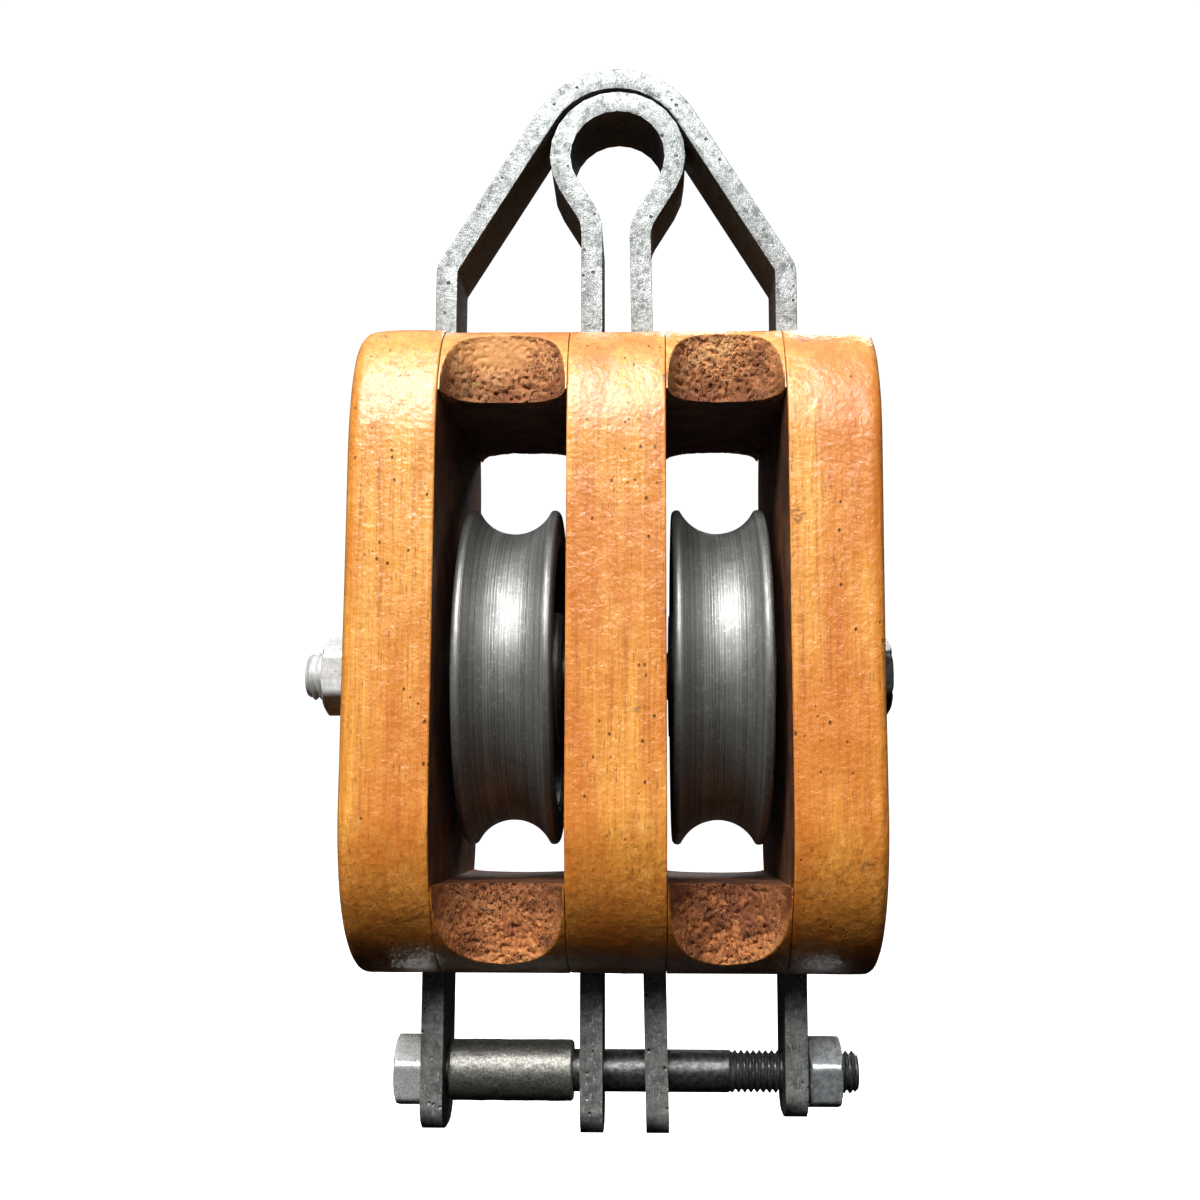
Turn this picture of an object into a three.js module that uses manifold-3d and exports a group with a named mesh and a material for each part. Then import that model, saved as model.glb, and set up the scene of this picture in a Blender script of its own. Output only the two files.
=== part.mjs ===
// Double sheave block: a wooden shell with two grooved sheaves side by side on one pin, an outer
// and an inner flat-bar strap, a head eye and a becket bolt at the tail.
// Millimetres, +X to the right, +Z up. Sizes are measured from the sheave pin's axis, and the
// exported group hangs from its origin, the centre of the head eye.
import * as THREE from 'three';
import { mergeVertices } from 'three/addons/utils/BufferGeometryUtils.js';
import Module from 'manifold-3d';

const wasm = await Module();
wasm.setup();

// ---------------------------------------------------------------- driving dimensions

const gap = 0.3; // between pieces that touch
const runningClearance = 0.1; // radial, between a bush and the pin it turns on

// The shell's side outline: flat front and rear, joined by round corners to a flat top and bottom.
const shell = {
  left: -61.3,
  right: 60.7,
  halfDepth: 47,
  top: 81,
  bottom: -72,
  headFlat: 28, // half depth of the flat top
  headBend: 50, // where the front starts to curve towards the top
  tailFlat: 12,
  tailBend: -33,
  edgeRadius: 3,
};
const slots = {
  left: { from: -40.8, to: -10.8 },
  right: { from: 11.9, to: 39.7 },
};
const chock = { headUnderside: 64.3, tailTop: -50.2 };

// The rope scoops in the chocks: the floor runs from the slot's lip to the shell's end.
const scoopDepth = 16;
const headScoop = { lip: [33.5, chock.headUnderside], end: [35.9, 77.8], squareness: 2.8 };
const tailScoop = { lip: [28, chock.tailTop], end: [26.4, -68.5], squareness: 2 };

const strap = { width: 21, thickness: 5.5, footRadius: 8 };
const eye = { height: 135, innerRadius: 12.2 };
// The straps are bent by hand: the crown sits slightly to the left of the eye, and so do the legs.
const neck = {
  angle: degrees(31.6),
  bendRadius: 11.2,
  left: { leg: 6.6, footX: 5.9, foot: -110.6 },
  right: { leg: 5.9, footX: 9.9, foot: -110.6 },
};
const crown = {
  angle: degrees(31.4),
  kneeRadius: 4.5,
  x: -0.5,
  height: eye.height + 0.2,
  clearance: 0.65,
  left: { leg: 43.9, footX: 44.1, foot: -109.8 },
  right: { leg: 43.2, footX: 42.9, foot: -106.6 },
};

const sheave = {
  radius: 42.25,
  rimWidth: 23,
  left: -25.8,
  right: 25.1,
  grooveRadius: 10.4,
  grooveBottom: 36.1,
  rimRounding: 1.6,
  rimInner: 33,
  webHalf: 5,
  hubRadius: 16,
  hubHalf: 12.2,
};
const bush = { outerRadius: 9 };
const thrustWasher = { radius: 13, thickness: 1.6 };

const pin = { radius: 6, acrossFlats: 18, turn: 0, headHeight: 7.5, nutHeight: 10, tip: -78.8 };
const pinWasher = { radius: 12, thickness: 2.2 };
const becket = {
  radius: 5,
  z: -96.6,
  acrossFlats: 16,
  turn: degrees(15),
  headHeight: 6.8,
  nutHeight: 8,
  tip: 58.5,
};
const spacer = { radius: 7.25, left: -40.7, right: -10.6 };
const rivet = { radius: 3, headRadius: 5, headHeight: 1.6, y: 16, zHead: 71, zTail: -59 };

const holeClearance = 0.3; // radial, round every bolt and rivet
const turnSteps = 32; // facets round the sheaves and what turns on a pin
const smallSteps = 16; // facets round small holes and washers
const endSteps = 7; // facets round each quarter of the shell's side outline

// ---------------------------------------------------------------- materials

const steelGalvanised = new THREE.MeshStandardMaterial({ color: 0xc9cdcb, roughness: 0.5, metalness: 0.6 });
const steelSheave = new THREE.MeshStandardMaterial({ color: 0x8b8b88, roughness: 0.35, metalness: 0.9 });
const steelDark = new THREE.MeshStandardMaterial({ color: 0x4a4d4d, roughness: 0.45, metalness: 0.8 });
const steelZinc = new THREE.MeshStandardMaterial({ color: 0xd8dad6, roughness: 0.35, metalness: 0.8 });
const steelSpacer = new THREE.MeshStandardMaterial({ color: 0x8a8577, roughness: 0.6, metalness: 0.6 });
const bronze = new THREE.MeshStandardMaterial({ color: 0xa8793c, roughness: 0.35, metalness: 0.9 });
const woodVarnished = new THREE.MeshStandardMaterial({ color: 0xe2974a, roughness: 0.35, metalness: 0 });
const woodChock = new THREE.MeshStandardMaterial({ color: 0xa8653a, roughness: 0.8, metalness: 0 });

// ---------------------------------------------------------------- helpers

function degrees(angle) {
  return THREE.MathUtils.degToRad(angle);
}

// A closed three.js geometry as a manifold solid.
function solidOf(geometry) {
  const bare = geometry.clone();
  bare.deleteAttribute('normal');
  bare.deleteAttribute('uv');
  const merged = mergeVertices(bare, 1e-4);
  return new wasm.Manifold(new wasm.Mesh({
    numProp: 3,
    vertProperties: new Float32Array(merged.attributes.position.array),
    triVerts: new Uint32Array(merged.index.array),
  }));
}

// A manifold solid as a three.js geometry.
function geometryOf(solid) {
  const mesh = solid.getMesh();
  const geometry = new THREE.BufferGeometry();
  geometry.setAttribute('position', new THREE.BufferAttribute(new Float32Array(mesh.vertProperties), 3));
  geometry.setIndex(new THREE.BufferAttribute(new Uint32Array(mesh.triVerts), 1));
  geometry.computeVertexNormals();
  return geometry;
}

function subtractAll(solid, tools) {
  return tools.reduce((rest, tool) => rest.subtract(tool), solid);
}

// Points of a circular arc, both ends included.
function arc(x, y, radius, from, to, steps) {
  return Array.from({ length: steps + 1 }, (_, i) => {
    const angle = from + ((to - from) * i) / steps;
    return new THREE.Vector2(x + radius * Math.cos(angle), y + radius * Math.sin(angle));
  });
}

// A cylinder or a prism along X, from x0 to x1.
function barX(radius, x0, x1, y, z, steps) {
  const geometry = new THREE.CylinderGeometry(radius, radius, x1 - x0, steps);
  return geometry.rotateZ(Math.PI / 2).translate((x0 + x1) / 2, y, z);
}

// A solid of revolution about the X axis; each profile point is (radius, x).
function turnedX(profile, steps) {
  const points = profile.map(([radius, x]) => new THREE.Vector2(radius, x));
  return new THREE.LatheGeometry(points, steps).rotateZ(-Math.PI / 2);
}

// An outline in Y and Z, extruded along X between x0 and x1.
function extrudedX(points, x0, x1, bevel = 0) {
  const geometry = new THREE.ExtrudeGeometry(new THREE.Shape(points), {
    depth: x1 - x0 - 2 * bevel,
    bevelEnabled: bevel > 0,
    bevelThickness: bevel,
    bevelSize: bevel,
    bevelOffset: -bevel,
    bevelSegments: 2,
  });
  geometry.applyMatrix4(new THREE.Matrix4().makeBasis(
    new THREE.Vector3(0, 1, 0),
    new THREE.Vector3(0, 0, 1),
    new THREE.Vector3(1, 0, 0),
  ));
  return geometry.translate(x0 + bevel, 0, 0);
}

// An outline in X and Z, extruded along Y and centred on Y = 0.
function extrudedY(points, width) {
  const geometry = new THREE.ExtrudeGeometry(new THREE.Shape(points), { depth: width, bevelEnabled: false });
  return geometry.rotateX(Math.PI / 2).translate(0, width / 2, 0);
}

function block(x0, x1, y0, y1, z0, z1) {
  const geometry = new THREE.BoxGeometry(x1 - x0, y1 - y0, z1 - z0);
  return solidOf(geometry.translate((x0 + x1) / 2, (y0 + y1) / 2, (z0 + z1) / 2));
}

// A hexagon along X with the corners of one end turned off; chamferSide is -1 or 1.
function hexagon({ acrossFlats, turn }, x0, x1, z, chamferSide) {
  const corner = acrossFlats / Math.sqrt(3);
  const chamfer = corner - acrossFlats / 2;
  const inner = chamferSide > 0 ? x0 : x1;
  const outer = chamferSide > 0 ? x1 : x0;
  const ends = [[corner, inner], [corner, outer - chamferSide * chamfer * 0.6], [corner - chamfer, outer]];
  const rising = chamferSide > 0 ? ends : ends.reverse();
  const envelope = solidOf(turnedX([[0, x0], ...rising, [0, x1]], smallSteps).translate(0, 0, z));
  const prism = barX(corner, x0, x1, 0, 0, 6).rotateX(turn).translate(0, 0, z);
  return solidOf(prism).intersect(envelope);
}

// ---------------------------------------------------------------- straps

// Half of a bent bar's outline, from a foot up to the middle of the top, drawn as a right half. The
// offset is from the bar's centre line, positive away from the block's middle.
function crownHalf(offset, side) {
  const leg = side < 0 ? crown.left : crown.right;
  const radius = eye.innerRadius + 1.5 * strap.thickness + crown.clearance;
  const crownX = side * crown.x;
  const kneeX = leg.leg - crown.kneeRadius;
  const kneeZ = crown.height
    + (radius - crown.kneeRadius - Math.cos(crown.angle) * (kneeX - crownX)) / Math.sin(crown.angle);
  return [
    new THREE.Vector2(leg.footX + offset, leg.foot),
    ...arc(kneeX, kneeZ, crown.kneeRadius + offset, 0, crown.angle, 3),
    ...arc(crownX, crown.height, radius + offset, crown.angle, Math.PI / 2, 6),
  ];
}

function eyeHalf(offset, side) {
  const leg = side < 0 ? neck.left : neck.right;
  const radius = eye.innerRadius + strap.thickness / 2;
  const bendX = leg.leg + neck.bendRadius;
  const bendZ = eye.height
    + (Math.cos(neck.angle) * bendX - neck.bendRadius - radius) / Math.sin(neck.angle);
  return [
    new THREE.Vector2(leg.footX + offset, leg.foot),
    ...arc(bendX, bendZ, neck.bendRadius - offset, Math.PI, Math.PI - neck.angle, 3),
    ...arc(0, eye.height, radius + offset, -neck.angle, Math.PI / 2, 8),
  ];
}

// The bent bar as a solid, grown by a margin on every side when it is used to cut its own seat.
function bentBar(half, margin) {
  const reach = strap.thickness / 2 + margin;
  const flipped = (points) => points.map((p) => new THREE.Vector2(-p.x, p.y));
  const outline = [
    ...half(reach, 1),
    ...flipped(half(reach, -1)).reverse(),
    ...flipped(half(-reach, -1)),
    ...half(-reach, 1).reverse(),
  ];
  return solidOf(extrudedY(outline, strap.width + 2 * margin));
}

// A long tongue in Y and Z whose rounded lower end shapes the legs' feet between x0 and x1.
function footShape(x0, x1, foot) {
  const half = strap.width / 2 + gap;
  const middle = strap.footRadius - gap;
  const top = eye.height * 2;
  const points = [
    new THREE.Vector2(-half, top),
    ...arc(-half + middle, foot + middle, middle, Math.PI, 1.5 * Math.PI, 4),
    ...arc(half - middle, foot + middle, middle, 1.5 * Math.PI, 2 * Math.PI, 4),
    new THREE.Vector2(half, top),
  ];
  return solidOf(extrudedX(points, x0, x1));
}

const pinHole = solidOf(barX(pin.radius + holeClearance, -90, 90, 0, 0, smallSteps));
const becketHole = solidOf(barX(becket.radius + holeClearance, -90, 90, 0, becket.z, smallSteps));

function outerStrap() {
  const bar = bentBar(crownHalf, 0);
  const feet = footShape(-60, 0, crown.left.foot).add(footShape(-0.01, 60, crown.right.foot));
  return subtractAll(bar.intersect(feet), [pinHole, becketHole]);
}

function innerStrap() {
  const bar = bentBar(eyeHalf, 0);
  return subtractAll(bar.intersect(footShape(-60, 60, neck.left.foot)), [pinHole, becketHole]);
}

// ---------------------------------------------------------------- wooden shell

// A quarter of the side outline, from the flat front or rear to the flat end: an elliptic arc.
function shellQuarter(bend, end, flat) {
  return Array.from({ length: endSteps + 1 }, (_, i) => {
    const angle = (i / endSteps) * (Math.PI / 2);
    const y = flat + (shell.halfDepth - flat) * Math.cos(angle);
    return new THREE.Vector2(y, bend + (end - bend) * Math.sin(angle));
  });
}

function shellBody() {
  const flipped = (points) => points.map((p) => new THREE.Vector2(-p.x, p.y)).reverse();
  const head = shellQuarter(shell.headBend, shell.top, shell.headFlat);
  const tail = shellQuarter(shell.tailBend, shell.bottom, shell.tailFlat);
  const outline = [...head, ...flipped(head), ...tail.map((p) => new THREE.Vector2(-p.x, p.y)),
    ...[...tail].reverse()];
  return solidOf(extrudedX(outline, shell.left, shell.right, shell.edgeRadius));
}

// A round-cornered gouge; its floor passes through the lip and the end, each given as (y, z).
function scoopTool({ lip, end, squareness }, x, halfWidth, face) {
  const length = 80;
  const rounded = (value) => Math.sign(value) * Math.abs(value) ** (2 / squareness);
  const section = Array.from({ length: smallSteps }, (_, i) => {
    const angle = (i / smallSteps) * 2 * Math.PI;
    return new THREE.Vector2(halfWidth * rounded(Math.cos(angle)), scoopDepth * rounded(Math.sin(angle)));
  });
  const geometry = new THREE.ExtrudeGeometry(new THREE.Shape(section), { depth: length, bevelEnabled: false });
  const tilt = Math.atan((lip[0] - end[0]) / (end[1] - lip[1]));
  geometry.translate(0, -scoopDepth, -length / 2);
  geometry.rotateX(-tilt).translate(0, -lip[0], lip[1]);
  if (face > 0) geometry.rotateZ(Math.PI);
  return solidOf(geometry.translate(x, 0, 0));
}

// Each rivet's hole with the counterbores for its flush heads.
function rivetHoles() {
  const headRadius = rivet.headRadius + holeClearance;
  const headDepth = rivet.headHeight + 2 * gap;
  return rivetPlaces().flatMap(({ y, z }) => [
    solidOf(barX(rivet.radius + holeClearance, -90, 90, y, z, smallSteps)),
    solidOf(barX(headRadius, shell.left - 5, shell.left + headDepth, y, z, smallSteps)),
    solidOf(barX(headRadius, shell.right - headDepth, shell.right + 5, y, z, smallSteps)),
  ]);
}

function rivetPlaces() {
  return [
    { name: 'shell_rivet_head_front', y: -rivet.y, z: rivet.zHead },
    { name: 'shell_rivet_head_rear', y: rivet.y, z: rivet.zHead },
    { name: 'shell_rivet_tail_front', y: -rivet.y, z: rivet.zTail },
    { name: 'shell_rivet_tail_rear', y: rivet.y, z: rivet.zTail },
  ];
}

const body = shellBody();
const holes = [pinHole, ...rivetHoles()];

function cheek(side) {
  const slab = side < 0
    ? block(shell.left - 1, slots.left.from, -60, 60, -100, 100)
    : block(slots.right.to, shell.right + 1, -60, 60, -100, 100);
  return subtractAll(body.intersect(slab), [bentBar(crownHalf, gap), ...holes]);
}

function partition() {
  const slab = block(slots.left.to, slots.right.from, -60, 60, -100, 100);
  return subtractAll(body.intersect(slab), [bentBar(eyeHalf, gap), ...holes]);
}

function chockSolid(slot, isHead) {
  const x0 = slot.from + gap;
  const x1 = slot.to - gap;
  const place = isHead ? headScoop : tailScoop;
  const slab = isHead
    ? block(x0, x1, -60, 60, chock.headUnderside, 100)
    : block(x0, x1, -60, 60, -100, chock.tailTop);
  const scoops = [-1, 1].map((face) => scoopTool(place, (x0 + x1) / 2, (x1 - x0) / 2 + 0.4, face));
  return subtractAll(body.intersect(slab), [...scoops, ...holes]);
}

function rivetShape({ y, z }) {
  const left = shell.left + gap;
  const right = shell.right - gap;
  return turnedX([
    [0, left],
    [rivet.headRadius, left],
    [rivet.headRadius, left + rivet.headHeight],
    [rivet.radius, left + rivet.headHeight],
    [rivet.radius, right - rivet.headHeight],
    [rivet.headRadius, right - rivet.headHeight],
    [rivet.headRadius, right],
    [0, right],
  ], 12).translate(0, y, z);
}

// ---------------------------------------------------------------- sheaves

function sheaveShape() {
  const half = sheave.rimWidth / 2;
  const rounding = sheave.rimRounding;
  const grooveCentre = sheave.grooveBottom + sheave.grooveRadius;
  const mouth = Math.asin((sheave.radius - grooveCentre) / sheave.grooveRadius);
  const groove = arc(0, grooveCentre, sheave.grooveRadius, Math.PI - mouth, 2 * Math.PI + mouth, 8);
  const bore = bush.outerRadius + gap;
  return turnedX([
    [bore, sheave.hubHalf],
    [bore, -sheave.hubHalf],
    [sheave.hubRadius, -sheave.hubHalf],
    [sheave.hubRadius, -sheave.webHalf],
    [sheave.rimInner, -sheave.webHalf],
    [sheave.rimInner, -half],
    [sheave.radius - rounding, -half],
    [sheave.radius, -half + rounding],
    ...groove.map((p) => [p.y, p.x]),
    [sheave.radius, half - rounding],
    [sheave.radius - rounding, half],
    [sheave.rimInner, half],
    [sheave.rimInner, sheave.webHalf],
    [sheave.hubRadius, sheave.webHalf],
    [sheave.hubRadius, sheave.hubHalf],
    [bore, sheave.hubHalf],
  ], turnSteps);
}

// A plain ring about the X axis, centred on X = 0.
function ring(innerRadius, outerRadius, length, steps) {
  const half = length / 2;
  return turnedX([
    [innerRadius, half],
    [innerRadius, -half],
    [outerRadius, -half],
    [outerRadius, half],
    [innerRadius, half],
  ], steps);
}

// ---------------------------------------------------------------- bolts and nuts

// A hexagon bolt along X; headSide is the side its head is on, tip the x of its other end.
function bolt(size, bearing, tip, z, headSide) {
  const end = headSide * (bearing + size.headHeight);
  const face = headSide * bearing;
  const chamfer = 1;
  const along = headSide > 0 ? 1 : -1;
  const points = [
    [0, tip],
    [size.radius - chamfer, tip],
    [size.radius, tip + along * chamfer],
    [size.radius, face + along * 1],
    [0, face + along * 1],
  ];
  const shank = turnedX(along > 0 ? points : points.reverse(), turnSteps).translate(0, 0, z);
  const head = hexagon(size, Math.min(face, end), Math.max(face, end), z, headSide);
  return solidOf(shank).add(head);
}

function nut(size, bearing, z, side) {
  const near = side * bearing;
  const far = side * (bearing + size.nutHeight);
  const body = hexagon(size, Math.min(near, far), Math.max(near, far), z, side);
  const bore = solidOf(barX(size.radius + holeClearance, -90, 90, 0, z, smallSteps));
  return body.subtract(bore);
}

// ---------------------------------------------------------------- assembly

const assembly = new THREE.Group();
assembly.position.z = -eye.height;

function addPiece(name, shape, material, x = 0, z = 0) {
  const geometry = shape.isBufferGeometry ? shape : geometryOf(shape);
  const mesh = new THREE.Mesh(geometry, material);
  mesh.name = name;
  mesh.position.set(x, 0, z);
  assembly.add(mesh);
}

const strapFace = (leg) => leg.leg + strap.thickness / 2 + gap;
const cheekFace = { left: slots.left.from, right: slots.right.to };

for (const name of ['left', 'right']) {
  const side = name === 'left' ? -1 : 1;
  const washer = ring(pin.radius + holeClearance, thrustWasher.radius, thrustWasher.thickness, smallSteps);
  const lining = ring(pin.radius + runningClearance, bush.outerRadius, 2 * sheave.hubHalf, turnSteps);
  addPiece(`cheek_${name}`, cheek(side), woodVarnished);
  addPiece(`head_chock_${name}`, chockSolid(slots[name], true), woodChock);
  addPiece(`tail_chock_${name}`, chockSolid(slots[name], false), woodChock);
  addPiece(`sheave_${name}`, sheaveShape(), steelSheave, sheave[name]);
  addPiece(`sheave_bush_${name}`, lining, bronze, sheave[name]);
  addPiece(`thrust_washer_${name}`, washer, steelDark,
    cheekFace[name] - side * (gap + thrustWasher.thickness / 2));
}
addPiece('centre_partition', partition(), woodVarnished);
for (const place of rivetPlaces()) addPiece(place.name, rivetShape(place), steelDark);

addPiece('outer_strap', outerStrap(), steelGalvanised);
addPiece('inner_strap', innerStrap(), steelGalvanised);

const pinWasherX = shell.left - gap - pinWasher.thickness / 2;
const nutBearing = -shell.left + pinWasher.thickness + 2 * gap;
addPiece('sheave_pin', bolt(pin, shell.right + gap, pin.tip, 0, 1), steelDark);
addPiece('pin_washer', ring(pin.radius + holeClearance, pinWasher.radius, pinWasher.thickness, smallSteps),
  steelZinc, pinWasherX);
addPiece('pin_nut', nut(pin, nutBearing, 0, -1), steelZinc);

const spacerLength = spacer.right - spacer.left;
addPiece('becket_bolt', bolt(becket, strapFace(crown.left), becket.tip, becket.z, -1), steelDark);
addPiece('becket_nut', nut(becket, strapFace(crown.right), becket.z, 1), steelZinc);
addPiece('becket_spacer', ring(becket.radius + runningClearance, spacer.radius, spacerLength, turnSteps),
  steelSpacer, (spacer.left + spacer.right) / 2, becket.z);

const model = new THREE.Group();
model.add(assembly);

export default model;
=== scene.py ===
"""Looks for the double sheave block: finer pieces round the CAD frame, procedural materials, studio.

Blender's lengths are in metres: X along the sheave pin, +Y away from the camera, +Z up, and the origin
in the centre of the head eye. Shapes are written in millimetres, with heights from the sheave pin's
axis, and materials in millimetres from the origin.
"""
import math

import bmesh
import bpy
from mathutils import Euler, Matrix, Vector, noise


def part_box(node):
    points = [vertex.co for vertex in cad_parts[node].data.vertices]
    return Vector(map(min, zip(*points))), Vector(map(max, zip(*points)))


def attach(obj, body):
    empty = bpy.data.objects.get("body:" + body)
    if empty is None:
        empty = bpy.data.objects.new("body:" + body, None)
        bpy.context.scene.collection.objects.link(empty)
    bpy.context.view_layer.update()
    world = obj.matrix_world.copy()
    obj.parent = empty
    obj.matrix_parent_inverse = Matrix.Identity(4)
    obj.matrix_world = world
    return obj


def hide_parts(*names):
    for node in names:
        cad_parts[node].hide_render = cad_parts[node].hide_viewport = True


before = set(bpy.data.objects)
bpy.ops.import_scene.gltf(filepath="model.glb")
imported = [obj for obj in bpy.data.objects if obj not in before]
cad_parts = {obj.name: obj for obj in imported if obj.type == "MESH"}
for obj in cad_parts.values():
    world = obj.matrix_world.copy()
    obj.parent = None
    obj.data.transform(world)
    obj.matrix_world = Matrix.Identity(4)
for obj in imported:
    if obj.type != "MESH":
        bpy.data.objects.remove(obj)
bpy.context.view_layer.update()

MM = 0.001
PIN_Z = -135.0  # height of the sheave pin above the origin, in millimetres
MERGE = 0.00001  # metres between points that are one point
SHELL_SLOT, RAW_SLOT = "varnished_wood", "raw_wood"
WOOD_IOR = 1.45


# ------------------------------------------------------------------ mesh helpers

def box_mm(node):
    """A CAD node's box in millimetres, with heights measured from the sheave pin."""
    return [[x / MM, y / MM, z / MM - PIN_Z] for x, y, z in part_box(node)]


def add_mesh(name, verts, faces, smooth_angle=35.0):
    """A mesh object from millimetre coordinates with heights measured from the sheave pin."""
    mesh = bpy.data.meshes.new(name)
    mesh.from_pydata([(x * MM, y * MM, (z + PIN_Z) * MM) for x, y, z in verts], [], faces)
    mesh.validate()
    piece = bpy.data.objects.new(name, mesh)
    bpy.context.scene.collection.objects.link(piece)
    tidy_normals(piece, smooth_angle)
    return piece


def tidy_normals(piece, smooth_angle):
    """Merges doubled points, turns the faces outwards and shades smooth up to an angle."""
    work = bmesh.new()
    work.from_mesh(piece.data)
    bmesh.ops.remove_doubles(work, verts=work.verts, dist=MERGE)
    bmesh.ops.recalc_face_normals(work, faces=work.faces)
    work.to_mesh(piece.data)
    work.free()
    piece.data.shade_smooth()
    piece.data.set_sharp_from_angle(angle=math.radians(smooth_angle))


def copy_of(node, name, bevel_mm, segments=3, angle=28.0):
    """A CAD node's shape as a new piece, with its edges rounded as a real edge is."""
    piece = bpy.data.objects.new(name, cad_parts[node].data.copy())
    bpy.context.scene.collection.objects.link(piece)
    piece.data.materials.clear()
    work = bmesh.new()
    work.from_mesh(piece.data)
    bmesh.ops.remove_doubles(work, verts=work.verts, dist=2 * MERGE)
    bmesh.ops.dissolve_limit(work, angle_limit=math.radians(1.0), verts=work.verts, edges=work.edges)
    work.to_mesh(piece.data)
    work.free()
    piece.data.shade_smooth()
    bevel = piece.modifiers.new("edges", "BEVEL")
    bevel.width = bevel_mm * MM
    bevel.segments = segments
    bevel.limit_method = "ANGLE"
    bevel.angle_limit = math.radians(angle)
    bevel.use_clamp_overlap = True
    bevel.harden_normals = True
    return piece


def rings(name, loops, torus=False, smooth_angle=35.0):
    """A skin over loops of equally many points, capped at its ends or closed on itself as a torus."""
    count = len(loops[0])
    verts = [p for loop in loops for p in loop]
    faces = []
    for i in range(len(loops) - (0 if torus else 1)):
        a, b = i * count, ((i + 1) % len(loops)) * count
        faces += [(a + j, a + (j + 1) % count, b + (j + 1) % count, b + j) for j in range(count)]
    if not torus:
        faces.append(tuple(range(count))[::-1])
        faces.append(tuple(range(len(verts) - count, len(verts))))
    return add_mesh(name, verts, faces, smooth_angle)


def turned(name, profile, x, z, steps, wave, smooth_angle):
    """A closed (x, radius) outline turned round an axis along X; wave(angle, x, r) adds to the radius."""
    loops = []
    for px, r in profile:
        loop = []
        for j in range(steps):
            angle = 2 * math.pi * j / steps
            radius = r + wave(angle, px, r)
            loop.append((x + px, radius * math.sin(angle), z + radius * math.cos(angle)))
        loops.append(loop)
    return rings(name, loops, torus=True, smooth_angle=smooth_angle)


def arc(cx, cy, radius, start, end, steps):
    """Points of an arc; the angles are in degrees."""
    out = []
    for i in range(steps + 1):
        a = math.radians(start + (end - start) * i / steps)
        out.append((cx + radius * math.cos(a), cy + radius * math.sin(a)))
    return out


def fractal(x, y, z, size, octaves=3):
    """Smooth seeded noise from about -1 to 1 with features of a given size."""
    return noise.fractal(Vector((x, y, z)) / size, 1.0, 2.0, octaves, noise_basis="PERLIN_ORIGINAL")


# ------------------------------------------------------------------ shader helpers

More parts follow.
